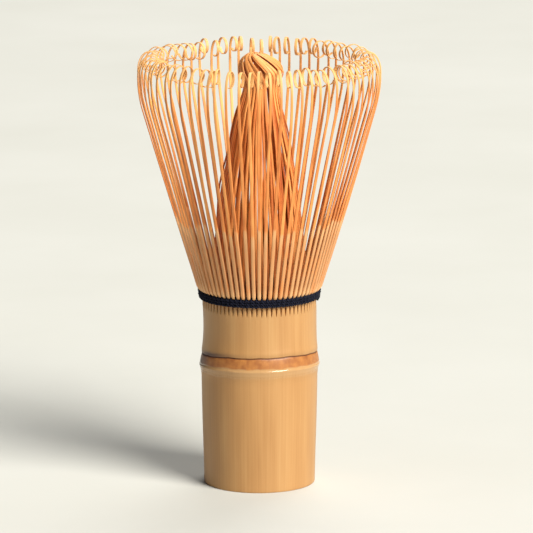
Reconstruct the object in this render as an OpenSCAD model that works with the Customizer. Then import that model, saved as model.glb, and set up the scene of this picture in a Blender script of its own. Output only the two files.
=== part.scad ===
// Bamboo tea whisk, standing on the open end of its handle.
// Millimetres, +Z up, origin on the axis at the foot of the handle.
// The whole whisk is one culm of bamboo: its upper half is split into an outer
// and an inner ring of tines, and one thread is woven round the tine roots.

/* [Handle] */
// Outer radius of the culm just under the thread
culm_radius = 14.3; // [14.2:0.1:16]
// Height of the unsplit culm
rim_height = 44.5; // [42:0.1:45]
// Height of the node ridge
node_height = 30.5; // [26:0.1:33]
// How far the node ridge stands out from the culm
node_bulge = 0.75; // [0.3:0.05:1.5]
// Thickness of the culm wall
culm_wall = 3.1; // [2.7:0.1:4]
// Thickness of the membrane that closes the culm at the node
septum_thickness = 2.4; // [1:0.1:4]

/* [Thread] */
// Thickness of the thread
thread_thickness = 0.84; // [0.6:0.02:0.9]
// Height of the middle of the woven band
thread_height = 48.7; // [48.4:0.1:49]
// Turns of thread outside the outer tines
thread_turns = 3; // [2:1:3]

/* [Outer tines] */
// Tines in each of the splits
tines_per_split = 4; // [2:1:4]
// Width of one tine
tine_width = 0.8; // [0.5:0.05:0.95]
// Lean of the straight stretch of a tine, in degrees
flare_angle = 16.5; // [12:0.5:19]
// Height of the tallest curled tip
tip_height = 110; // [95:1:120]
// Radius of the loop at a curled tip
curl_radius = 2.1; // [1.6:0.1:2.5]
// Thickness of a tine at its tip
tip_thickness = 0.3; // [0.2:0.05:0.5]

/* [Inner tines] */
// Outer radius of the inner bundle at its root
bundle_radius = 12.4; // [12:0.1:12.5]
// Outer radius of the neck under the head
neck_radius = 4.6; // [4.2:0.1:6]
// Outer radius of the rounded head
head_radius = 5.8; // [5.2:0.1:7]
// Height of the top of the head
head_height = 109.8; // [104:0.2:114]

/* [Hidden] */
SPLITS = 18;
SPLIT_ANGLE = 360 / SPLITS;
$fn = 180;
// A tine stands square to the front, at azimuth 270.
FIRST_AZIMUTH = 267.5;

function two_digits(n) = str(n < 10 ? "0" : "", n);
function node_names(stem) = [for (split = [1:SPLITS]) str(stem, two_digits(split))];

// Handle
foot_radius = culm_radius - 0.3;
foot_chamfer = 0.4;
waist_height = 40;
waist_radius = culm_radius + 0.06;
bore_radius = culm_radius - culm_wall;
lower_bore_radius = foot_radius - culm_wall;

// Tines
joint_clearance = 0.3;
root_height = rim_height + joint_clearance;
root_block = 1.1;
tine_pitch = 19.2 / tines_per_split;
// The outer face of a tine leaves the thread here and starts its straight lean.
shoulder_height = thread_height + 2.1;
shoulder_radius = culm_radius + 1.5;
lip_height = thread_height + 1.6;
root_thickness = 0.7;
bend_radius = 30;

// Inner bundle
bundle_gap = 0.8;
slit_angle = 1.3;
join_angle = 0.8;
crown_hole = 0.9;

// A tip bends inwards over a tall shoulder and closes in a loop. Both are parts of
// ellipses that meet at the top; these are their half-axes in loop radii.
SHOULDER_ARC = [1.6, 2.45];
LOOP_ARC = [1.1, 1];
CURL_STEP = 15;
function tip_arc(angle) = angle < 90 ? SHOULDER_ARC : LOOP_ARC;
function tip_point(radius, angle) =
    radius * [tip_arc(angle)[0] * cos(angle) - SHOULDER_ARC[0], tip_arc(angle)[1] * (sin(angle) - 1)];
function tip_lean(angle) = atan2(-tip_arc(angle)[0] * sin(angle), tip_arc(angle)[1] * cos(angle));

// Even scatter between -1 and 1, so that no two tips are quite alike.
function scatter(index, salt) = sin(index * 137.508 + salt * 71);

// A ribbon is a list of rows: a point on the outer face, the lean of the ribbon
// there and its thickness. Its inner face lies square to the lean.
function outer_face(rows) = [for (row = rows) row[0]];
function inner_face(rows) = [
    for (i = [len(rows) - 1:-1:0]) rows[i][0] + rows[i][2] * [-cos(rows[i][1]), sin(rows[i][1])]
];

module culm_outline() {
    polygon([
        [lower_bore_radius, 0],
        [foot_radius - foot_chamfer, 0],
        [foot_radius, foot_chamfer],
        [culm_radius + 0.15, node_height - 8],
        [culm_radius + 0.3, node_height - 3.5],
        [culm_radius + node_bulge, node_height - 0.8],
        [culm_radius + node_bulge, node_height + 0.6],
        [culm_radius + 0.3, node_height + 1.6],
        [culm_radius + 0.45, node_height + 3],
        [waist_radius, waist_height],
        [culm_radius + 0.1, rim_height - 1],
        [culm_radius, rim_height],
        [bore_radius, rim_height],
        [bore_radius, node_height + septum_thickness],
        [0, node_height + septum_thickness / 2],
        [0, node_height - septum_thickness / 2],
        [lower_bore_radius, node_height - septum_thickness],
    ]);
}

module handle() {
    color("burlywood") rotate_extrude() culm_outline();
}

module thread_turn(radius, height, thickness) {
    translate([0, 0, height]) rotate_extrude() translate([radius, 0]) circle(d = thickness, $fn = 24);
}

// Turns outside and inside the outer tines, tied through the gap between splits.
module thread() {
    turn_pitch = thread_thickness - 0.04;
    outside = culm_radius + 0.35 + thread_thickness / 2;
    inside = bundle_radius + 0.35 + thread_thickness / 2 - 0.1;
    tie_width = 0.2;
    color("midnightblue") union() {
        for (turn = [0:thread_turns - 1])
            thread_turn(outside, thread_height + (turn - (thread_turns - 1) / 2) * turn_pitch, thread_thickness);
        thread_turn(inside, thread_height, thread_thickness - 0.2);
        for (split = [1:SPLITS])
            rotate(FIRST_AZIMUTH + (split - 0.5) * SPLIT_ANGLE)
                translate([inside, -tie_width / 2, thread_height - 0.25])
                    cube([outside - inside, tie_width, 0.5]);
    }
}

// Side outline of one outer tine: radius across, height up.
module outer_tine_outline(index) {
    radius = curl_radius + 0.2 * scatter(index, 1);
    top = tip_height - 0.35 + 0.35 * scatter(index, 2);
    curl_height = top - SHOULDER_ARC[1] * radius;
    bend_end = curl_height - 0.3;
    bend_start = bend_end - bend_radius * sin(flare_angle);
    lean_start_radius = shoulder_radius + (bend_start - shoulder_height) * tan(flare_angle);
    reach = lean_start_radius + bend_radius * (1 - cos(flare_angle));
    curl_end = 22 + round(scatter(index, 3));
    bend_steps = 4;
    root_outer = [
        [culm_radius, root_height],
        [culm_radius, thread_height + 0.6],
        [culm_radius + 0.3, thread_height + 1.35],
        [culm_radius + 1.05, lip_height],
    ];
    root_inner = [
        [culm_radius - root_thickness, thread_height + 0.9],
        [culm_radius - root_thickness, root_height],
    ];
    blade = [
        [[shoulder_radius, shoulder_height], flare_angle, root_thickness + 0.9],
        [[shoulder_radius + 3 * tan(flare_angle), shoulder_height + 3], flare_angle, root_thickness + 0.2],
        [[shoulder_radius + 12 * tan(flare_angle), shoulder_height + 12], flare_angle, tip_thickness + 0.25],
        for (step = [0:bend_steps])
            let (lean = flare_angle * (1 - step / bend_steps))
            [
                [
                    lean_start_radius + bend_radius * (cos(lean) - cos(flare_angle)),
                    bend_end - bend_radius * sin(lean),
                ],
                lean,
                tip_thickness,
            ],
        for (step = [0:curl_end])
            let (angle = step * CURL_STEP)
            [[reach, top] + tip_point(radius, angle), tip_lean(angle), tip_thickness],
    ];
    polygon(concat(root_outer, outer_face(blade), inner_face(blade), root_inner));
}

module sector(angle, inner, outer, bottom, top) {
    rotate(-angle / 2) rotate_extrude(angle = angle)
        translate([inner, bottom]) square([outer - inner, top - bottom]);
}

// One split of the outer ring: a foot and the tines that stand on it.
module outer_tines(split) {
    foot_angle = (tines_per_split - 1) * tine_pitch + 2.4;
    color("sandybrown") rotate(FIRST_AZIMUTH + (split - 1) * SPLIT_ANGLE) union() {
        sector(foot_angle, culm_radius - root_thickness, culm_radius, root_height, root_height + root_block);
        for (tine = [0:tines_per_split - 1])
            rotate((tine - (tines_per_split - 1) / 2) * tine_pitch)
                rotate([90, 0, 0])
                    linear_extrude(tine_width, center = true)
                        outer_tine_outline(split * tines_per_split + tine);
    }
}

// Side outline of the inner bundle: a cone of tines, a neck and a rounded head.
module bundle_outline() {
    taper = bundle_radius - neck_radius;
    neck_height = head_height - 8.8;
    cone = neck_height - thread_height;
    head_thickness = 0.7;
    skin = [
        [[bundle_radius, root_height + bundle_gap], 0, 0.9],
        [[bundle_radius, thread_height + 1], 0, 0.9],
        [[neck_radius + 0.84 * taper, thread_height + 0.3 * cone], 5, 0.7],
        [[neck_radius + 0.64 * taper, thread_height + 0.54 * cone], 8, 0.6],
        [[neck_radius + 0.34 * taper, thread_height + 0.77 * cone], 11, 0.5],
        [[neck_radius, neck_height], 4, 0.45],
        [[neck_radius + 0.1, neck_height + 2], -8, 0.45],
        [[head_radius, head_height - 5.2], 0, head_thickness],
        [[head_radius, head_height - 3.4], -12, head_thickness],
        [[0.86 * head_radius, head_height - 1.4], -40, head_thickness],
        [[0.55 * head_radius, head_height - 0.35], -70, head_thickness],
        [[crown_hole, head_height], -90, head_thickness],
    ];
    polygon(concat(outer_face(skin), inner_face(skin)));
}

// One split of the inner ring, slit into tines between its root and its head.
module inner_tines(split) {
    slit_bottom = root_height + bundle_gap + root_block;
    slit_top = head_height - 8;
    color("peru") rotate(FIRST_AZIMUTH + (split - 1) * SPLIT_ANGLE) difference() {
        rotate((join_angle - SPLIT_ANGLE) / 2)
            rotate_extrude(angle = SPLIT_ANGLE - join_angle) bundle_outline();
        for (slit = [1:tines_per_split - 1])
            rotate((slit / tines_per_split - 0.5) * SPLIT_ANGLE)
                sector(slit_angle, neck_radius / 2, bundle_radius + 1, slit_bottom, slit_top);
    }
}

handle();
thread();
for (split = [1:SPLITS])
    outer_tines(split);
for (split = [1:SPLITS])
    inner_tines(split);
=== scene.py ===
"""The looks of a bamboo tea whisk, built round its CAD frame.

The whisk is in millimetres until Surface.build() turns it into metres; the floor, the lights and
the camera are in metres. A point of the whisk is given by its radius from the axis, its azimuth
and its height: azimuth 0 is +X and 270 faces the viewer.
"""

import math
import random

import bmesh
import bpy
import numpy as np
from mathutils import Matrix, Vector


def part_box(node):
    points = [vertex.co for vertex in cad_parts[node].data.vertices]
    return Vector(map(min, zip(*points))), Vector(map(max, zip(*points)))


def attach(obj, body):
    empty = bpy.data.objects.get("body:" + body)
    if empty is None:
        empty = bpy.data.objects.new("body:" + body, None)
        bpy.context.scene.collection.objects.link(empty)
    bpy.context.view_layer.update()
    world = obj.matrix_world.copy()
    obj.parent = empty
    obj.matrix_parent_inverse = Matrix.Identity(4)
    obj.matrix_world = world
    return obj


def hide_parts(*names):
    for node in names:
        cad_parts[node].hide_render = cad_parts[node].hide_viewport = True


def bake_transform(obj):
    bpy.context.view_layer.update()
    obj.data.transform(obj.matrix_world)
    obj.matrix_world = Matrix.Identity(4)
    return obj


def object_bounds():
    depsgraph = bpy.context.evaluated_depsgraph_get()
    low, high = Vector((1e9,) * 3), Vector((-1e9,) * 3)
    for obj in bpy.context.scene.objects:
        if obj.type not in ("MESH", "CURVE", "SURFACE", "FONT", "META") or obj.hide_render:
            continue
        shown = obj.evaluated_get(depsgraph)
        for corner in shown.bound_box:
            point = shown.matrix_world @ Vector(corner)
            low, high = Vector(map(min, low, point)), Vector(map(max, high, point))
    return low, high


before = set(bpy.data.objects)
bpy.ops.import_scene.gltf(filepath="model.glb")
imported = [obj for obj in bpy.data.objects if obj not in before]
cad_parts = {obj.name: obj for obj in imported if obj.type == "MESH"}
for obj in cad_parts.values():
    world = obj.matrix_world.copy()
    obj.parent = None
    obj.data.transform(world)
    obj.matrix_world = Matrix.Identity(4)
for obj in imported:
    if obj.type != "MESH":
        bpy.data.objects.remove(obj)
cad_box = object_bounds()

MM = 0.001
UV_MAP = "Fibre"
SPLITS = 18
TINES = 4
SECTORS = SPLITS * TINES
SPLIT_ANGLE = 360 / SPLITS
PITCH = 360 / SECTORS
# Azimuth of the middle of the first split.
FIRST_AZIMUTH = 267.5


def box_mm(node):
    """A CAD node's lowest and highest corners in millimetres."""
    low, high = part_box(node)
    return np.array(low) / MM, np.array(high) / MM


CULM_TOP = box_mm("handle")[1][2]
BAND_MIDDLE = (box_mm("thread")[0][2] + box_mm("thread")[1][2]) / 2
WHISK_TOP = cad_box[1][2] / MM

# Radii and heights that the pieces share.
CREST = 30.5
GROOVE = 33.5
ROOT_RADIUS = 14.35
ROOT_DEPTH = 0.75
ROOT_BACK = ROOT_RADIUS - ROOT_DEPTH
SLIT_BOTTOM = CULM_TOP + 0.55
ROOT_TOP = BAND_MIDDLE - 0.9


# ---------------------------------------------------------------- curves and meshes

WELD_DISTANCE = 0.002
SHARP_ANGLE = math.radians(50)


def path_length(points):
    """How far along a line of points each one lies."""
    step = np.linalg.norm(np.diff(points, axis=0), axis=1)
    return np.concatenate([[0], np.cumsum(step)])


def smooth_curve(points, steps):
    """Points on a smooth curve through the given ones, with this many steps between each pair."""
    p = np.array(points, float)
    knots = path_length(p)
    slope = np.gradient(p, knots, axis=0)
    out = []
    for i, span in enumerate(np.diff(knots)):
        for t in np.arange(steps) / steps:
            out.append(
                (1 + 2 * t) * (1 - t) ** 2 * p[i]
                + t * (1 - t) ** 2 * span * slope[i]
                + t**2 * (3 - 2 * t) * p[i + 1]
                + t**2 * (t - 1) * span * slope[i + 1]
            )
    out.append(p[-1])
    return np.array(out)


def ease(x, low, high):
    """0 below low, 1 above high and a smooth step between them."""
    t = np.clip((np.asarray(x, float) - low) / (high - low), 0, 1)
    return t * t * (3 - 2 * t)


def bell(x, middle, width):
    """1 at the middle, falling smoothly to nothing on either side."""
    return np.exp(-(((x - middle) / width) ** 2))


def unit(v):
    return v / np.maximum(np.linalg.norm(v, axis=-1, keepdims=True), 1e-12)


def polar(radius, azimuth, height):
    """Points given by radius, azimuth in degrees and height."""
    a = np.radians(np.asarray(azimuth, float))
    r = np.broadcast_to(radius, a.shape)
    return np.stack([r * np.cos(a), r * np.sin(a), np.broadcast_to(height, a.shape)], axis=-1)


def rounded_section(corners, squareness):
    """A closed outline in a square from -1 to 1: a circle at squareness 2, nearly square at 8."""
    angle = (np.arange(corners) + 0.5) * 2 * math.pi / corners
    power = 2 / squareness
    x = np.sign(np.cos(angle)) * np.abs(np.cos(angle)) ** power
    y = np.sign(np.sin(angle)) * np.abs(np.sin(angle)) ** power
    return x, y


def rectangle(left, low, right, high):
    """UV corners, from the lower left."""
    return [(left, low), (right, low), (right, high), (left, high)]


class Surface:
    """Points, faces, one UV map in millimetres (across, along) and two numbers at each point: tone,
    and the height or the distance along the strip."""

    def __init__(self):
        self.points, self.faces, self.uvs, self.slots = [], [], [], []
        self.tone, self.along = [], []
        self.count = 0

    def add_points(self, points, tone=0.0, along=0.0):
        """Adds points and returns the index of the first one."""
        points = np.asarray(points, float).reshape(-1, 3)
        first = self.count
        self.points.append(points)
        self.tone.append(np.broadcast_to(tone, len(points)))
        self.along.append(np.broadcast_to(along, len(points)))
        self.count += len(points)
        return first

    def add_face(self, corners, uv, slot=0):
        self.faces.append(corners)
        self.uvs.extend(uv)
        self.slots.append(slot)

    def sweep(self, rings, along, around, tone=0.0, offset=0.0):
        """Joins rings of points into a tube and closes its ends.

        along and around are its UV; around has one value more than a ring has points. The offset
        moves the UV to another part of the grain.
        """
        n, m = rings.shape[:2]
        first = self.add_points(rings, tone, np.repeat(along, m))
        for i in range(n - 1):
            ring, above = first + i * m, first + (i + 1) * m
            for k in range(m):
                q = (k + 1) % m
                left, right = around[k] + offset, around[k + 1] + offset
                uv = rectangle(left, along[i], right, along[i + 1])
                self.add_face((ring + k, ring + q, above + q, above + k), uv)
        for i, order in ((0, -1), (n - 1, 1)):
            corners = [first + i * m + k for k in range(m)][::order]
            uv = [(around[k] + offset, along[i]) for k in range(m)][::order]
            self.add_face(corners, uv)

    def build(self, name, materials):
        """Makes the Blender object, in metres."""
        mesh = bpy.data.meshes.new(name)
        mesh.from_pydata((np.vstack(self.points) * MM).tolist(), [], self.faces)
        layer = mesh.uv_layers.new(name=UV_MAP)
        layer.data.foreach_set("uv", np.array(self.uvs, float).ravel())
        for label, values in (("tone", self.tone), ("along", self.along)):
            attribute = mesh.attributes.new(label, "FLOAT", "POINT")
            attribute.data.foreach_set("value", np.concatenate(values).astype(float))
        for material in materials:
            mesh.materials.append(material)
        mesh.polygons.foreach_set("material_index", self.slots)
        mesh.shade_smooth()
        mesh.update()
        piece = bpy.data.objects.new(name, mesh)
        bpy.context.scene.collection.objects.link(piece)
        tidy_mesh(mesh)
        return piece


def tidy_mesh(data):
    """Welds points that meet, turns every face outwards and keeps true edges sharp."""
    mesh = bmesh.new()
    mesh.from_mesh(data)
    bmesh.ops.remove_doubles(mesh, verts=mesh.verts, dist=WELD_DISTANCE * MM)
    bmesh.ops.recalc_face_normals(mesh, faces=mesh.faces)
    mesh.to_mesh(data)
    mesh.free()
    data.set_sharp_from_angle(angle=SHARP_ANGLE)


# ---------------------------------------------------------------- materials


def linear(red, green, blue):
    """A colour given as 0 to 255 in sRGB, as the shader wants it."""
    return tuple(
        c / 12.92 if c <= 0.04045 else ((c + 0.055) / 1.055) ** 2.4
        for c in (red / 255, green / 255, blue / 255)
    ) + (1.0,)


class Shader:
    """A material and short calls that add nodes to it."""

    def __init__(self, name, **values):
        self.material = bpy.data.materials.new(name)
        self.material.use_nodes = True
        self.tree = self.material.node_tree
        self.surface = next(n for n in self.tree.nodes if n.type == "BSDF_PRINCIPLED")
        for label, value in values.items():
            self.surface.inputs[label.replace("_", " ")].default_value = value

    def add(self, kind, inputs=(), **settings):
        node = self.tree.nodes.new("ShaderNode" + kind)
        for label, value in settings.items():
            setattr(node, label, value)
        for socket, value in dict(inputs).items():
            self.feed(node.inputs[socket], value)
        return node

    def feed(self, socket, value):
        if isinstance(value, bpy.types.NodeSocket):
            self.tree.links.new(value, socket)
        else:
            socket.default_value = value

    def drive(self, label, value):
        """Feeds one of the surface shader's own sockets."""
        self.feed(self.surface.inputs[label], value)

    def uv(self, across, along):
        """The piece's UV map in millimetres, scaled."""
        source = self.add("UVMap", uv_map=UV_MAP).outputs["UV"]
        return self.add("Mapping", {"Vector": source, "Scale": (across, along, 1)}).outputs[0]

    def place(self, scale):
        """Coordinates of the piece itself in metres, scaled."""
        source = self.add("TexCoord").outputs["Object"]
        return self.add("Mapping", {"Vector": source, "Scale": (scale, scale, scale)}).outputs[0]

    def number(self, name):
        """One of the numbers that the mesh carries at each point."""
        return self.add("Attribute", attribute_name=name).outputs["Fac"]

    def noise(self, vector, scale=1.0, detail=3.0, roughness=0.55):
        inputs = {"Vector": vector, "Scale": scale, "Detail": detail, "Roughness": roughness}
        return self.add("TexNoise", inputs).outputs["Fac"]

    def ramp(self, value, *stops):
        """A colour ramp; stops are (position, colour)."""
        node = self.add("ValToRGB", {"Fac": value})
        elements = node.color_ramp.elements
        while len(elements) < len(stops):
            elements.new(0.5)
        for element, (position, colour) in zip(elements, stops):
            element.position = position
            element.color = colour
        return node.outputs["Color"]

    def span(self, value, low, high, to_low=0.0, to_high=1.0):
        """A smooth step from to_low to to_high while the value goes from low to high."""
        limits = {"From Min": low, "From Max": high, "To Min": to_low, "To Max": to_high}
        node = self.add("MapRange", {"Value": value, **limits}, interpolation_type="SMOOTHSTEP")
        return node.outputs["Result"]

    def blend(self, factor, first, second):
        """A mix of two colours."""
        node = self.add("Mix", data_type="RGBA")
        colour_a, colour_b = [s for s in node.inputs if s.type == "RGBA"]
        self.feed(node.inputs["Factor"], factor)
        self.feed(colour_a, first)
        self.feed(colour_b, second)
        return next(s for s in node.outputs if s.type == "RGBA")

    def blend_number(self, factor, first, second):
        """A mix of two numbers."""
        node = self.add("Mix", {"Factor": factor, "A": first, "B": second}, data_type="FLOAT")
        return node.outputs["Result"]

    def math(self, operation, first, second):
        return self.add("Math", {0: first, 1: second}, operation=operation).outputs[0]

    def times(self, first, second):
        return self.math("MULTIPLY", first, second)

    def plus(self, first, second):
        return self.math("ADD", first, second)

    def bump(self, height, distance, strength):
        """Raises the surface by this distance in millimetres."""
        inputs = {"Height": height, "Distance": distance * MM, "Strength": strength}
        self.drive("Normal", self.add("Bump", inputs).outputs["Normal"])


def bamboo_strip(name, dark, middle, light, pale, edge, pale_below, fade, tip, tip_span, variety):
    """Split bamboo: fibres along the strip, blotches, a tone of its own for each tine, a lower part
    in other colours and a golden tip. On the outer tines the lower part is the culm's skin left
    on the root; on the inner strands it is painted shade, dark where the outer tines cover them.
    Heights are measured along the strip."""
    shader = Shader(name, Specular_IOR_Level=0.35)
    fibre = shader.noise(shader.uv(3.4, 0.06), detail=4)
    patch = shader.noise(shader.uv(0.5, 0.16), detail=2)
    streak = shader.plus(shader.times(fibre, 0.6), shader.times(patch, 0.4))
    tone = shader.number("tone")
    shifted = shader.plus(streak, shader.times(tone, variety))
    wood = shader.ramp(shifted, (0.3, dark), (0.5, middle), (0.72, light))
    along = shader.number("along")
    golden = shader.blend(shader.span(along, *tip_span, 0.0, 0.6), wood, tip)

    # The lower part ends on a ragged line, and it turns to the edge colour just below that line and
    # just above the thread. On the outer tines this is skin, worn there; on the inner strands it is
    # painted shade, darkest just above the thread.
    ragged = shader.plus(shader.times(fibre, 3.0), shader.times(tone, 1.3))
    rise = shader.plus(along, ragged)
    skin = shader.span(rise, pale_below, pale_below + fade, 1.0, 0.0)
    wear_and_shade_top = shader.span(rise, pale_below - 4.5, pale_below - 0.5, 0.0, 0.5)
    wear_and_shade_root = shader.span(along, 51.8, 55, 0.9, 0.0)
    skin_and_shade_colour = shader.blend(shader.math("MAXIMUM", wear_and_shade_top, wear_and_shade_root), pale, edge)
    streaked = shader.blend(shader.span(streak, 0.3, 0.55), middle, skin_and_shade_colour)
    shader.drive("Base Color", shader.blend(skin, golden, streaked))
    shader.drive("Roughness", shader.span(fibre, 0.3, 0.7, 0.42, 0.6))
    shader.bump(fibre, 0.04, 0.5)
    return shader.material


def culm_skin():
    """The handle's outside: upright fibres, an orange collar over the node's crest, a pale glossy
    bloom along the collar's lower edge and, where the mesh's tone says, the node's dark line and
    painted shade on the left."""
    shader = Shader("culm_skin", Specular_IOR_Level=0.45)
    fine = shader.noise(shader.uv(2.2, 0.03), detail=4, roughness=0.5)
    broad = shader.noise(shader.uv(0.16, 0.02), detail=2)
    streak = shader.plus(shader.times(fine, 0.4), shader.times(broad, 0.6))
    skin = shader.ramp(
        streak,
        (0.3, linear(165, 118, 68)),
        (0.5, linear(179, 133, 81)),
        (0.7, linear(189, 146, 93)),
    )
    height = shader.number("along")
    waver = shader.times(shader.noise(shader.uv(0.35, 0.3), detail=3), 0.7)
    rise = shader.plus(height, waver)
    over_crest = shader.span(rise, CREST + 0.8, CREST + 1.15)
    under_groove = shader.span(height, GROOVE + 0.1, GROOVE + 0.25, 1.0, 0.0)
    collar_mask = shader.times(over_crest, under_groove)
    blotch = shader.noise(shader.uv(0.5, 0.5), detail=3)
    collar = shader.ramp(blotch, (0.3, linear(142, 80, 35)), (0.7, linear(180, 116, 56)))
    coloured = shader.blend(shader.times(collar_mask, 0.9), skin, collar)
    bloom_start = shader.span(rise, CREST - 1.6, CREST - 0.2)
    bloom_end = shader.span(rise, CREST + 0.9, CREST + 1.2, 1.0, 0.0)
    bloom = shader.times(bloom_start, bloom_end)
    bloomed = shader.blend(shader.times(bloom, 0.35), coloured, linear(192, 158, 116))
    # The tone darkens the skin: the node's dark line, and painted shade on the left side.
    line_and_shaded = shader.blend(shader.number("tone"), bloomed, linear(70, 37, 27))
    shader.drive("Base Color", line_and_shaded)
    plain_roughness = shader.span(fine, 0.3, 0.7, 0.4, 0.52)
    shader.drive("Roughness", shader.blend_number(bloom, plain_roughness, 0.15))
    shader.bump(fine, 0.04, 0.35)
    return shader.material


def culm_end_grain():
    """The sawn foot: dark fibre bundles in paler wood."""
    shader = Shader("culm_end_grain", Specular_IOR_Level=0.25)
    in_mm = shader.place(1 / MM)
    dots = shader.add("TexVoronoi", {"Vector": in_mm, "Scale": 1.7}).outputs["Distance"]
    grit = shader.noise(in_mm, scale=3.0, detail=3)
    bundle = shader.plus(dots, shader.times(grit, 0.3))
    colour = shader.ramp(
        bundle,
        (0.3, linear(132, 84, 44)),
        (0.52, linear(214, 172, 116)),
        (0.8, linear(228, 192, 138)),
    )
    shader.drive("Base Color", colour)
    shader.drive("Roughness", shader.span(grit, 0.3, 0.7, 0.65, 0.85))
    shader.bump(bundle, 0.12, 0.6)
    return shader.material


def culm_inside():
    """The hollow's wall and the membrane: dull, papery and pale."""
    shader = Shader("culm_inside", Specular_IOR_Level=0.2)
    grain = shader.noise(shader.uv(1.2, 0.12), detail=4)
    spots = shader.noise(shader.place(1 / MM), scale=0.5, detail=4)
    mixed = shader.plus(shader.times(grain, 0.5), shader.times(spots, 0.5))
    colour = shader.ramp(
        mixed,
        (0.35, linear(168, 116, 68)),
        (0.5, linear(192, 142, 90)),
        (0.7, linear(206, 164, 114)),
    )
    shader.drive("Base Color", colour)
    shader.drive("Roughness", shader.span(spots, 0.3, 0.7, 0.75, 0.9))
    shader.bump(mixed, 0.15, 0.6)
    return shader.material


def cotton_thread():
    """Dark indigo cotton, with paler worn fibres and fuzz."""
    shader = Shader(
        "cotton_thread", Specular_IOR_Level=0.2, Sheen_Weight=0.04, Sheen_Roughness=0.5
    )
    fuzz = shader.noise(shader.uv(9.0, 2.5), detail=4, roughness=0.7)
    colour = shader.ramp(
        fuzz,
        (0.3, linear(5, 7, 18)),
        (0.6, linear(11, 14, 36)),
        (0.85, linear(30, 38, 72)),
    )
    shader.drive("Base Color", colour)
    shader.drive("Roughness", shader.span(fuzz, 0.3, 0.7, 0.7, 0.9))
    shader.bump(fuzz, 0.06, 0.7)
    return shader.material


def pale_floor():
    shader = Shader("pale_floor", Specular_IOR_Level=0.1)
    cloud = shader.noise(shader.place(1), scale=9.0, detail=4)
    colour = shader.ramp(cloud, (0.3, linear(195, 194, 186)), (0.7, linear(200, 199, 192)))
    shader.drive("Base Color", colour)
    shader.drive("Roughness", shader.span(cloud, 0.3, 0.7, 0.85, 0.95))
    return shader.material


# ---------------------------------------------------------------- handle

# The handle's material slots.
SKIN, END_GRAIN, INSIDE = range(3)

# All the lists below are heights and radii. This one is the foot's outer edge.
FOOT_RADIUS = 13.86
FOOT_EDGE = [(0.0, FOOT_RADIUS), (0.04, FOOT_RADIUS + 0.07), (0.14, FOOT_RADIUS + 0.12)]
# The culm's outside, from the foot over the node's crest and groove to the slits.
CULM_OUTLINE = [
    (0.45, 14.0),
    (6, 14.12),
    (14, 14.36),
    (22, 14.54),
    (26, 14.6),
    (28.2, 14.66),
    (29.0, 14.77),
    (29.7, 14.96),
    (30.2, 15.1),
    (CREST, 15.19),
    (30.68, 15.17),
    (30.82, 15.09),
    (31.0, 15.03),
    (31.4, 14.97),
    (32.2, 14.84),
    (33.0, 14.66),
    (33.4, 14.56),
    (33.8, 14.6),
    (34.5, 14.62),
    (35.8, 14.5),
    (38, 14.4),
    (41, 14.36),
    (SLIT_BOTTOM, ROOT_RADIUS),
]
# The web that closes the slits behind the roots.
WEB_FOOT = (SLIT_BOTTOM + 0.3, 13.2)
WEB = [
    (SLIT_BOTTOM, ROOT_BACK),
    (ROOT_TOP - 0.5, ROOT_BACK - 0.03),
    (ROOT_TOP - 0.4, ROOT_BACK - 0.2),
    WEB_FOOT,
]
# The ledge under the tines, the upper hollow and the top of the membrane.
UPPER_HOLLOW = [
    WEB_FOOT,
    (SLIT_BOTTOM - 0.3, 12.9),
    (SLIT_BOTTOM - 0.4, 11.4),
    (SLIT_BOTTOM - 0.8, 11.1),
    (40, 11.05),
    (34.4, 11.0),
    (33.3, 10.5),
    (32.6, 8.5),
    (32.1, 5),
    (31.9, 1.2),
    (31.9, 0.05),
]
# The sawn ring, the lower hollow and the underside of the membrane.
BORE_RADIUS = 10.9
SAWN_RING = [(0.0, FOOT_RADIUS), (0.0, 12.9), (0.0, 12.1), (0.0, 11.3), (0.0, BORE_RADIUS + 0.1)]
MEMBRANE_EDGE = (28.2, 10.2)
LOWER_HOLLOW = [
    (0.0, BORE_RADIUS + 0.1),
    (0.25, BORE_RADIUS),
    (14, BORE_RADIUS),
    (26.5, BORE_RADIUS),
    MEMBRANE_EDGE,
]
MEMBRANE = [MEMBRANE_EDGE, (28.9, 8.5), (29.3, 5), (29.45, 1.2), (29.45, 0.05)]

# Columns of points across one tine root, as shares of half its pitch.
SHARES = np.array([-1, -0.6, -0.2, 0.2, 0.6, 1])
COLUMNS = len(SHARES) - 1
COLUMN_WIDTH = 0.25
RING = SECTORS * COLUMNS
ROOT_AZIMUTHS = FIRST_AZIMUTH + (np.arange(SECTORS) - (TINES - 1) / 2) * PITCH
RING_AZIMUTHS = (ROOT_AZIMUTHS[:, None] + SHARES[None, :-1] * PITCH / 2).ravel()
# The slit between two roots: rows of points up it, and half its width at the top.
SLIT_ROWS = 6
SLIT_HALF_WIDTH = 0.31


def node_waver(azimuth):
    """How far the node's groove rises and falls round the culm: it is higher at the front."""
    a = np.radians(azimuth)
    lean = 1.15 * np.sin(-a) + 0.25 * np.cos(a)
    return lean + 0.07 * np.sin(5 * a) + 0.05 * np.sin(11 * a) + 0.03 * np.sin(23 * a)


def out_of_round(azimuth, height):
    """The culm is not quite round, and a little hollow on its left above the node."""
    a = np.radians(azimuth)
    hollow = 0.24 * np.maximum(0, -np.cos(a)) * bell(height, 40, 5)
    return 0.05 * np.sin(2 * a + 0.6) + 0.03 * np.sin(3 * a + 2) - hollow


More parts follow.
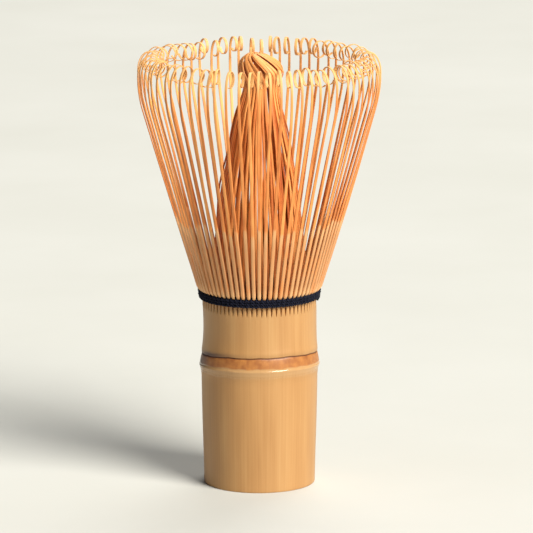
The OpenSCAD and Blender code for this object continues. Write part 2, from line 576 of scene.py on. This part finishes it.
def node_line_and_shade(azimuth, height):
    """Share of dark colour on the skin: the node's own dark line in the groove, and painted
    shade on the left above and below it, on the side away from the key light.
    """
    a = azimuth % 360
    in_groove = bell(height, GROOVE, 0.15)
    # Above the groove: a faint dark ring all round and painted shade on the left. On the collar:
    # painted shade on the left.
    above = (bell(a, 212, 24) + 0.1) * bell(height, GROOVE + 0.5, 0.65)
    on_collar = bell(a, 190, 19) * bell(height, GROOVE - 1.6, 1.7)
    return np.clip(0.88 * in_groove + 0.82 * above + 0.85 * on_collar, 0, 0.92)


def groove_depth(height):
    return 0.17 * bell(height, GROOVE, 0.16)


def culm_ring(height, radius, shape=1.0):
    """Points round the culm; at shape 0 they are level and truly round."""
    r = radius + shape * out_of_round(RING_AZIMUTHS, height)
    z = height + shape * bell(height, GROOVE, 4.4) * node_waver(RING_AZIMUTHS)
    return polar(r, RING_AZIMUTHS, z)


def add_skirt(surface, rings, along, slot, tones=None):
    """Joins each ring of points round the culm to the next. Returns where the last one starts."""
    if tones is None:
        tones = [0.0] * len(rings)
    starts = [surface.add_points(*row) for row in zip(rings, tones, along)]
    width = 2 * math.pi * ROOT_RADIUS / RING
    for i in range(len(rings) - 1):
        for k in range(RING):
            q = (k + 1) % RING
            corners = (starts[i] + k, starts[i] + q, starts[i + 1] + q, starts[i + 1] + k)
            uv = rectangle(k * width, along[i], (k + 1) * width, along[i + 1])
            surface.add_face(corners, uv, slot)
    return starts[-1]


def add_root(surface, rim, sector):
    """The root of one outer tine: a tooth of culm that narrows between two pointed slits.

    rim is the row of points that it stands on.
    """

    def add_row(radius, narrowing, height):
        azimuths = ROOT_AZIMUTHS[sector] + SHARES * narrowing * PITCH / 2
        first = surface.add_points(polar(radius, azimuths, height), 0.0, height)
        return [first + k for k in range(COLUMNS + 1)]

    crown = 0.1 * (1 - SHARES**2) - 0.1
    front, back = rim, add_row(ROOT_BACK, 1, SLIT_BOTTOM)
    heights = np.linspace(SLIT_BOTTOM, ROOT_TOP, SLIT_ROWS)
    for low, high in zip(heights, heights[1:]):
        rise = (high - SLIT_BOTTOM) / (ROOT_TOP - SLIT_BOTTOM)
        opening = math.degrees(SLIT_HALF_WIDTH * rise**0.65 / ROOT_RADIUS)
        narrowing = 1 - opening / (PITCH / 2)
        new_front = add_row(ROOT_RADIUS + crown, narrowing, high)
        new_back = add_row(ROOT_BACK, narrowing, high)
        for k in range(COLUMNS):
            column = sector * COLUMNS + k
            uv = rectangle(column * COLUMN_WIDTH, low, (column + 1) * COLUMN_WIDTH, high)
            outside = (front[k], front[k + 1], new_front[k + 1], new_front[k])
            inside = (back[k + 1], back[k], new_back[k], new_back[k + 1])
            surface.add_face(outside, uv, SKIN)
            surface.add_face(inside, uv, INSIDE)
        uv = rectangle(0, low, ROOT_DEPTH, high)
        surface.add_face((back[0], front[0], new_front[0], new_back[0]), uv, INSIDE)
        surface.add_face((front[-1], back[-1], new_back[-1], new_front[-1]), uv, INSIDE)
        front, back = new_front, new_back
    for k in range(COLUMNS):
        uv = rectangle(0, 0, COLUMN_WIDTH, ROOT_DEPTH)
        surface.add_face((front[k], front[k + 1], back[k + 1], back[k]), uv, INSIDE)


def make_handle(materials):
    surface = Surface()
    profile = np.vstack([FOOT_EDGE, smooth_curve(CULM_OUTLINE, 5)])
    groove_rows = np.arange(GROOVE - 0.5, GROOVE + 1.2, 0.08)
    heights = np.unique(np.round(np.concatenate([profile[:, 0], groove_rows]), 3))
    radii = np.interp(heights, profile[:, 0], profile[:, 1])
    rings = [culm_ring(z, r - groove_depth(z)) for z, r in zip(heights, radii)]
    # Tones: the node's dark line, and painted shade on the left side.
    tones = [node_line_and_shade(RING_AZIMUTHS, z) for z in heights]
    last = add_skirt(surface, rings, heights, SKIN, tones)
    for sector in range(SECTORS):
        rim = [last + (sector * COLUMNS + k) % RING for k in range(COLUMNS + 1)]
        add_root(surface, rim, sector)

    rings = [culm_ring(z, r, 0.0) for z, r in WEB]
    add_skirt(surface, rings, [z for z, _ in WEB], INSIDE)
    upper = smooth_curve(UPPER_HOLLOW, 3)
    rings = [culm_ring(z, r, 0.0) for z, r in upper]
    add_skirt(surface, rings, upper[:, 0] - upper[:, 1], INSIDE)
    rings = [culm_ring(z, r) for z, r in SAWN_RING]
    add_skirt(surface, rings, [r for _, r in SAWN_RING], END_GRAIN)
    lower = np.vstack([smooth_curve(LOWER_HOLLOW, 4), smooth_curve(MEMBRANE, 4)[1:]])
    rings = [culm_ring(z, r) for z, r in lower]
    add_skirt(surface, rings, lower[:, 0] - lower[:, 1], INSIDE)

    piece = surface.build("handle_culm", materials)
    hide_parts("handle")
    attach(piece, "handle")


# ---------------------------------------------------------------- outer tines

# The outer face of a tine leaves the thread at the shoulder and starts its straight lean.
SHOULDER = (15.9, BAND_MIDDLE + 1.95)
LEAN = math.radians(16.5)
BEND_RADIUS = 30
# A curled tip bends inwards over a tall shoulder and closes in a loop. Both are parts of
# ellipses that meet at the top; these are their half-axes in loop radii.
SHOULDER_ARC = (1.6, 2.45)
LOOP_ARC = (1.1, 1.0)
# Rows of points along the lean, the bend and the curled tip.
LEAN_ROWS = 12
BEND_ROWS = 5
TIP_ROWS = 32
# The tines of one split stand closer together than those of neighbouring splits.
OUTER_PITCH = 4.9
# The section of a tine, and how far apart its corners are on the UV.
OUTER_CORNERS = 12
OUTER_SQUARENESS = 4.5
OUTER_CORNER_WIDTH = 0.21
# Each tine's grain starts at a random place in this many millimetres.
GRAIN_RANGE = 900
OUTER_SEED = 1000


def outer_faces(rng):
    """Side view of one outer tine.

    Returns its rows of (outer radius, outer height, inner radius, inner height, width), and the
    radius at which its tip starts.
    """

    def row(radius, height, angle, thick, width):
        inner_radius, inner_height = -thick * math.cos(angle), thick * math.sin(angle)
        return radius, height, radius + inner_radius, height + inner_height, width

    low = ROOT_TOP - 0.6
    root = [
        (14.2, low, 13.45, low, 0.8),
        (14.22, BAND_MIDDLE + 0.15, 13.45, BAND_MIDDLE + 0.6, 0.8),
        (14.42, BAND_MIDDLE + 0.72, 13.6, BAND_MIDDLE + 1.35, 0.6),
        (14.92, BAND_MIDDLE + 0.98, 13.95, BAND_MIDDLE + 1.85, 0.72),
        (15.45, BAND_MIDDLE + 1.3, 14.35, BAND_MIDDLE + 2.4, 0.86),
        (*SHOULDER, 14.8, BAND_MIDDLE + 3.0, 0.93),
    ]
    rows = [tuple(r) for r in smooth_curve(root, 2)]

    lean = LEAN + math.radians(rng.uniform(-0.45, 0.45))
    loop = rng.uniform(1.9, 2.3)
    top = WHISK_TOP - 0.1 - rng.uniform(0, 0.9)
    bend_end = top - SHOULDER_ARC[1] * loop - rng.uniform(0.0, 0.7)
    bend_start = bend_end - BEND_RADIUS * math.sin(lean)
    length = (bend_start - SHOULDER[1]) / math.cos(lean)
    bow = rng.uniform(-0.3, 0.3)
    for step in range(1, LEAN_ROWS + 1):
        share = step / LEAN_ROWS
        along = share * length
        bulge = bow * math.sin(math.pi * share)
        radius = SHOULDER[0] + along * math.sin(lean) + bulge * math.cos(lean)
        height = SHOULDER[1] + along * math.cos(lean) - bulge * math.sin(lean)
        thick = 0.28 + 0.62 * math.exp(-along / 13)
        width = 0.94 - 0.14 * float(ease(share, 0.25, 0.6)) - 0.08 * share
        rows.append(row(radius, height, lean, thick, width))

    reach, start = rows[-1][:2]
    for step in range(1, BEND_ROWS + 1):
        angle = lean * (1 - step / BEND_ROWS)
        radius = reach + BEND_RADIUS * (math.cos(angle) - math.cos(lean))
        height = start + BEND_RADIUS * (math.sin(lean) - math.sin(angle))
        rows.append(row(radius, height, angle, 0.27, 0.72 - 0.02 * step))

    edge = rows[-1][0]
    for angle in np.radians(np.linspace(0, rng.uniform(285, 350), TIP_ROWS)):
        across, down = np.multiply(SHOULDER_ARC if angle < math.pi / 2 else LOOP_ARC, loop)
        radius = edge - SHOULDER_ARC[0] * loop + across * math.cos(angle)
        height = top - down + down * math.sin(angle)
        share = float(ease(angle, 0, math.pi))
        inward = unit(np.array([-down * math.cos(angle), -across * math.sin(angle)]))
        inner = (radius, height) + (0.26 - 0.08 * share) * inward
        rows.append((radius, height, *inner, 0.62 + 0.12 * share))
    return np.array(rows), edge


def add_outer_tine(surface, azimuth, rng):
    rows, edge = outer_faces(rng)
    outer, inner, width = rows[:, 0:2], rows[:, 2:4], rows[:, 4]
    middle = (outer + inner) / 2
    along = path_length(middle)
    share = along / along[-1]

    # A tine drifts sideways on its way up, and its curled tip turns a little about its edge.
    drift = rng.uniform(-0.45, 0.45) * ease(share, 0.1, 0.8)
    drift += rng.uniform(-0.3, 0.3) * ease(share, 0.1, 0.35) * ease(share, 0.85, 0.45)
    tip_start = len(rows) - TIP_ROWS
    curled = ease(np.arange(len(rows)), tip_start, tip_start + TIP_ROWS / 2)
    yaw = (math.radians(rng.uniform(-8, 8)) * curled)[:, None]

    across, out = rounded_section(OUTER_CORNERS, OUTER_SQUARENESS)
    half = (outer - inner) / 2
    radius = middle[:, None, 0] + half[:, None, 0] * out
    height = middle[:, None, 1] + half[:, None, 1] * out
    side = width[:, None] / 2 * across + drift[:, None]
    turned_radius = edge + (radius - edge) * np.cos(yaw) - side * np.sin(yaw)
    turned_side = (radius - edge) * np.sin(yaw) + side * np.cos(yaw)

    a = math.radians(azimuth + rng.uniform(-0.1, 0.1))
    x = turned_radius * math.cos(a) - turned_side * math.sin(a)
    y = turned_radius * math.sin(a) + turned_side * math.cos(a)
    rings = np.stack([x, y, height], axis=-1)

    around = np.arange(OUTER_CORNERS + 1) * OUTER_CORNER_WIDTH
    pale_inside = 1.6 * ease(share, 0.2, 0.7)[:, None] * (out < -0.5)
    tone = (rng.uniform(-1, 1) + pale_inside).ravel()
    surface.sweep(rings, ROOT_TOP + along, around, tone=tone, offset=rng.uniform(0, GRAIN_RANGE))


def make_outer_tines(material):
    for split in range(1, SPLITS + 1):
        rng = random.Random(OUTER_SEED + split)
        surface = Surface()
        middle = FIRST_AZIMUTH + (split - 1) * SPLIT_ANGLE
        for tine in range(TINES):
            add_outer_tine(surface, middle + (tine - (TINES - 1) / 2) * OUTER_PITCH, rng)
        piece = surface.build(f"outer_tines_{split:02d}_blades", [material])
        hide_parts(f"outer_tines_{split:02d}")
        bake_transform(piece)


# ---------------------------------------------------------------- inner tines

# Height and outer radius of the inner bundle, from its root over its neck to its head.
BUNDLE_OUTLINE = [
    (44.6, 12.35),
    (48, 12.4),
    (55, 12.0),
    (62, 11.3),
    (69, 10.5),
    (76, 9.6),
    (82.6, 8.3),
    (89, 7.1),
    (95, 5.8),
    (99, 4.8),
    (101.0, 4.48),
    (102.0, 4.6),
    (103.0, 4.98),
    (103.9, 5.4),
    (104.5, 5.62),
]
NECK_HEIGHT = 101
HEAD_BASE = 105.0
HEAD_RADIUS = 5.75
HEAD_ROWS = 14
# How far round the head a strand turns, in degrees.
HEAD_TURN = -56
# The neck stands a little to the right of the axis, and the crown of the head leans from there
# to the left and back: these are their shifts along X and Y.
NECK_SHIFT = (0.45, 0)
CROWN_SHIFT = (-1.5, 0.3)
# The height from which the inner bamboo's colours are measured along a strand.
INNER_ROOT = 45
INNER_CORNERS = 10
INNER_SQUARENESS = 4
INNER_CORNER_WIDTH = 0.19
INNER_SEED = 2000


def strand_line(rng, layer):
    """Side view of one inner strand: rows of (radius, height, share of the way over the head)."""
    rows = [(radius, height, 0.0) for height, radius in smooth_curve(BUNDLE_OUTLINE, 3)]
    last = math.radians(rng.uniform(66, 88))
    rise = WHISK_TOP - 0.3 - HEAD_BASE - 0.2 * layer
    for step in range(HEAD_ROWS + 1):
        angle = last * step / HEAD_ROWS
        radius = HEAD_RADIUS * math.cos(angle) ** 0.9
        height = HEAD_BASE + rise * math.sin(angle) ** 1.1
        rows.append((radius, height, angle / (math.pi / 2)))
    return np.array(rows)


def strand_directions(line, radius, height, azimuth, tilt):
    """Unit vectors across the strand and away from the axis, at each point of its line."""
    forward = unit(np.gradient(line, axis=0))
    slope = np.gradient(np.stack([radius, height], axis=1), axis=0)
    normal = unit(np.stack([slope[:, 1], -slope[:, 0]], axis=1))
    outward = polar(normal[:, 0], azimuth, normal[:, 1])
    across = unit(np.cross(outward, forward))
    outward = unit(np.cross(forward, across))
    cos, sin = np.cos(tilt)[:, None], np.sin(tilt)[:, None]
    return across * cos + outward * sin, outward * cos - across * sin


def add_inner_strand(surface, azimuth, index, rng):
    """One strand. Every second one lies in the deeper layer, which painted shade darkens."""
    layer = index % 2
    radius, height, over = strand_line(rng, layer).T
    gather = ease(height, 58, 97)
    head = ease(height, 99, 106)

    # A few strands stand loose of the cone, and all wander a little and then turn round the head.
    loose = rng.choice((0, 0, 0, 0.35, 0.7)) * bell(height, rng.uniform(76, 94), 9)
    radius = radius - gather * (0.34 * layer + rng.uniform(0, 0.2)) + loose
    wander = rng.uniform(-0.55, 0.55) * bell(height, rng.uniform(66, 90), 10)
    wander += rng.uniform(-0.35, 0.35) * ease(height, 60, 92)
    wander += rng.uniform(-0.12, 0.12) * np.sin(height / 5)
    path = path_length(np.stack([radius, height], axis=1))
    neck = np.interp(NECK_HEIGHT, height, path)
    climb = np.clip((path - neck) / (path[-1] - neck), 0, 1)
    turn = HEAD_TURN * climb**1.4 + rng.uniform(-6, 6) * ease(height, 88, 106)
    azimuths = azimuth + turn + np.degrees(wander / np.maximum(radius, 3))
    lift = over**2 * rng.uniform(-0.2, 0.35)
    radius = radius * (1 + (rng.uniform(-0.05, 0.03) - 0.18 * layer) * head)
    line = polar(radius, azimuths, height + lift)
    line[:, :2] += ease(over, 0, 1)[:, None] * CROWN_SHIFT
    line[:, :2] += ease(height, 92, 104)[:, None] * NECK_SHIFT
    tilt = math.radians(rng.uniform(-12, 12)) * gather
    across, outward = strand_directions(line, radius, height, azimuths, tilt)

    width = 0.98 - 0.38 * ease(height, 52, 84) + (0.06 * layer + rng.uniform(-0.1, 0.12)) * head
    width = width * (1 - 0.45 * ease(over, 0.75, 1.0))
    thick = 0.45 - 0.22 * ease(np.linspace(0, 1, len(line)), 0.1, 0.7)
    section_across, section_out = rounded_section(INNER_CORNERS, INNER_SQUARENESS)
    side = (width[:, None] / 2 * section_across)[..., None]
    depth = (thick[:, None] / 2 * (section_out - 1))[..., None]
    rings = line[:, None] + across[:, None] * side + outward[:, None] * depth

    around = np.arange(INNER_CORNERS + 1) * INNER_CORNER_WIDTH
    # Painted shade: the deeper layer's tone is darker up the neck, and darker still on the head.
    tone = np.repeat(rng.uniform(-1, 1) - layer * (0.5 * gather + 0.9 * head), INNER_CORNERS)
    along = INNER_ROOT + path_length(line)
    surface.sweep(rings, along, around, tone=tone, offset=rng.uniform(0, GRAIN_RANGE))


def make_inner_tines(material):
    for split in range(1, SPLITS + 1):
        rng = random.Random(INNER_SEED + split)
        surface = Surface()
        middle = FIRST_AZIMUTH + (split - 1) * SPLIT_ANGLE
        for tine in range(TINES):
            azimuth = middle + (tine - (TINES - 1) / 2) * PITCH
            add_inner_strand(surface, azimuth, (split - 1) * TINES + tine, rng)
        piece = surface.build(f"inner_tines_{split:02d}_strands", [material])
        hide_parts(f"inner_tines_{split:02d}")
        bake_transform(piece)


# ---------------------------------------------------------------- thread

CORD_CORNERS = 8
# Height of the middle of the wound band, and the rise from one turn to the next.
WINDING_HEIGHT = BAND_MIDDLE - 0.18
TURN_RISE = 0.66
# The band leans outwards with the tines under it, from this level below its middle.
WINDING_LEAN = 0.16
WINDING_FOOT = -1.14
# The radii there of the turns outside and of those behind them, and the radius of those inside.
OUTSIDE_RADIUS = 14.78
BEHIND_RADIUS = 14.5
INSIDE_RADIUS = 13.0
# The radii of the cord outside, of the one behind it and of the one inside, and the lengths
# over which two plies go once round each other.
CORD_RADIUS = 0.42
FILL_RADIUS = 0.36
INNER_CORD_RADIUS = 0.3
PLY_PITCH = 1.25
INNER_PLY_PITCH = 1.1
STITCH_RADIUS = 0.24
STITCH_CORNER_WIDTH = 0.19
STITCH_STEP = 0.25
STITCH_SEED = 7
# How far the second ply's grain is moved from the first one's, for each radian between them.
PLY_SHIFT = 7


def tube_rings(line, radius, side, other):
    """Rings of points round a line, given two directions across it."""
    angle = (np.arange(CORD_CORNERS) * 2 * math.pi / CORD_CORNERS)[:, None]
    return line[:, None] + radius * (side * np.cos(angle) + other * np.sin(angle))


def add_cord(surface, line, radius, pitch):
    """Two plies twisted round each other along a line of points."""
    forward = unit(np.gradient(line, axis=0))
    along = path_length(line)
    turns = max(1, round(along[-1] / pitch))
    twist = 2 * math.pi * turns * along / along[-1]
    radial = unit(line * (1, 1, 0))
    up = unit(np.cross(forward, radial))
    radial = unit(np.cross(up, forward))
    ply = radius * 0.56
    around = np.arange(CORD_CORNERS + 1) * 2 * math.pi * ply / CORD_CORNERS
    for start in (0, math.pi):
        phase = (twist + start)[:, None]
        centre = line + (radius - ply) * (np.cos(phase) * radial + np.sin(phase) * up)
        rings = tube_rings(centre, ply, radial[:, None], up[:, None])
        surface.sweep(rings, along, around, offset=start * PLY_SHIFT)


def winding_radius(foot_radius, level):
    """Radius of the winding at a level above or below its middle."""
    return foot_radius + WINDING_LEAN * (level - WINDING_FOOT)


def add_stitch(surface, azimuth, gap, rng):
    """A stitch through the gap between two outer tines, over the edge of the band."""
    rise = rng.uniform(-0.12, 0.15)
    side_view = [
        (13.3, BAND_MIDDLE + 0.4),
        (13.9, BAND_MIDDLE + 1.2 + rise),
        (14.6, BAND_MIDDLE + 1.5 + rise),
        (15.15, BAND_MIDDLE + 1.3 + rise),
        (15.32, BAND_MIDDLE + 0.6),
    ]
    radius, height = smooth_curve(side_view, 3).T
    swayed = azimuth + rng.uniform(-0.25, 0.25)
    line = polar(radius, np.full(len(radius), swayed), height)
    side = polar(1.0, swayed + 90, 0.0)
    other = unit(np.cross(unit(np.gradient(line, axis=0)), side))
    rings = tube_rings(line, STITCH_RADIUS, side, other[:, None])
    around = np.arange(CORD_CORNERS + 1) * STITCH_CORNER_WIDTH
    surface.sweep(rings, np.arange(len(line)) * STITCH_STEP, around, offset=gap)


def make_thread(material):
    surface = Surface()

    # Three turns outside, woven over one tine and under the next. They start at the right.
    turns = np.linspace(0, 3, 1500)
    azimuth = FIRST_AZIMUTH - SPLIT_ANGLE / 2 + 90 + turns * 360
    a = np.radians(azimuth)
    weave = 0.05 * np.cos(SECTORS / 2 * a + math.pi * np.floor(turns))
    ripple = 0.09 * np.cos(SECTORS * a + math.pi / 2)
    level = (turns - 1.5) * TURN_RISE
    radius = winding_radius(OUTSIDE_RADIUS, level) + ripple + weave
    line = polar(radius, azimuth, WINDING_HEIGHT + level + weave)
    add_cord(surface, line, CORD_RADIUS, PLY_PITCH)

    # Two turns behind them, which fill the grooves between the turns.
    turns = np.linspace(0, 2, 900)
    level = (turns - 1) * TURN_RISE
    line = polar(winding_radius(BEHIND_RADIUS, level), turns * 360, WINDING_HEIGHT + level)
    add_cord(surface, line, FILL_RADIUS, PLY_PITCH)

    # Two thinner turns inside the outer tines, against the inner bundle.
    turns = np.linspace(0, 2, 700)
    line = polar(INSIDE_RADIUS, turns * 360, BAND_MIDDLE + 0.1 + 0.6 * (turns - 1))
    add_cord(surface, line, INNER_CORD_RADIUS, INNER_PLY_PITCH)

    rng = random.Random(STITCH_SEED)
    for gap in range(SECTORS):
        azimuth = FIRST_AZIMUTH + (gap - (TINES - 1) / 2 + 0.5) * PITCH
        add_stitch(surface, azimuth, gap, rng)

    piece = surface.build("thread_winding", [material])
    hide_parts("thread")
    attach(piece, "handle")


# ---------------------------------------------------------------- studio

FLOOR_HALF_SIDE = 3.0
# The floor lies this far under the foot, so that the two faces never coincide.
FLOOR_GAP = 0.00002
CAMERA_TARGET = (0.0018, 0, 0.0553)
CAMERA_DISTANCE = 1.2
CAMERA_ELEVATION = math.radians(11.6)
CAMERA_ANGLE = math.radians(6.4)
LIGHT_TARGET = (0, 0, 0.055)
LIGHT_DISTANCE = 8.0


def make_floor(material):
    side = FLOOR_HALF_SIDE
    corners = [(x, y, -FLOOR_GAP) for x, y in rectangle(-side, -side, side, side)]
    mesh = bpy.data.meshes.new("floor")
    mesh.from_pydata(corners, [], [(0, 1, 2, 3)])
    mesh.materials.append(material)
    floor = bpy.data.objects.new("floor", mesh)
    bpy.context.scene.collection.objects.link(floor)


def aim(thing, target):
    direction = Vector(target) - thing.location
    thing.rotation_euler = direction.to_track_quat("-Z", "Y").to_euler()


def make_light(name, azimuth, elevation, size, power, colour):
    data = bpy.data.lights.new(name, "AREA")
    data.shape = "DISK"
    data.size = size
    data.energy = power
    data.color = colour
    lamp = bpy.data.objects.new(name, data)
    e = math.radians(elevation)
    offset = Vector(polar(math.cos(e), azimuth, math.sin(e)))
    lamp.location = Vector(LIGHT_TARGET) + LIGHT_DISTANCE * offset
    aim(lamp, LIGHT_TARGET)
    bpy.context.scene.collection.objects.link(lamp)


def make_camera():
    data = bpy.data.cameras.new("camera")
    data.sensor_width = 36
    data.angle = CAMERA_ANGLE
    data.clip_end = 20
    camera = bpy.data.objects.new("camera", data)
    offset = Vector((0, -math.cos(CAMERA_ELEVATION), math.sin(CAMERA_ELEVATION)))
    camera.location = Vector(CAMERA_TARGET) + CAMERA_DISTANCE * offset
    aim(camera, CAMERA_TARGET)
    bpy.context.scene.collection.objects.link(camera)
    bpy.context.scene.camera = camera


def make_studio():
    make_floor(pale_floor())
    make_light("key", 314, 38, size=4.6, power=1310, colour=(1.0, 0.98, 0.93))
    make_light("back", 72, 55, size=5.0, power=330, colour=(1.0, 0.99, 0.97))
    world = bpy.data.worlds.new("studio")
    world.use_nodes = True
    background = world.node_tree.nodes["Background"]
    background.inputs["Color"].default_value = (0.72, 0.86, 1.0, 1)
    background.inputs["Strength"].default_value = 0.11
    bpy.context.scene.world = world
    bpy.context.scene.view_settings.view_transform = "Standard"


# ---------------------------------------------------------------- the whisk

make_camera()
make_studio()
make_handle([culm_skin(), culm_end_grain(), culm_inside()])
make_outer_tines(
    bamboo_strip(
        "outer_bamboo",
        dark=linear(176, 98, 44),
        middle=linear(220, 136, 70),
        light=linear(240, 170, 96),
        pale=linear(200, 146, 96),
        edge=linear(226, 176, 122),
        pale_below=71.2,
        fade=0.8,
        tip=linear(232, 188, 122),
        tip_span=(104, 111),
        variety=0.11,
    )
)
make_inner_tines(
    bamboo_strip(
        "inner_bamboo",
        dark=linear(172, 80, 30),
        middle=linear(222, 132, 62),
        light=linear(244, 172, 98),
        # Painted shade: the lower strands under the outer tines are darkened, most of all just
        # above the thread.
        pale=linear(132, 66, 30),
        edge=linear(104, 50, 26),
        pale_below=51,
        fade=24,
        tip=linear(240, 172, 102),
        tip_span=(92, 116),
        variety=0.15,
    )
)
make_thread(cotton_thread())
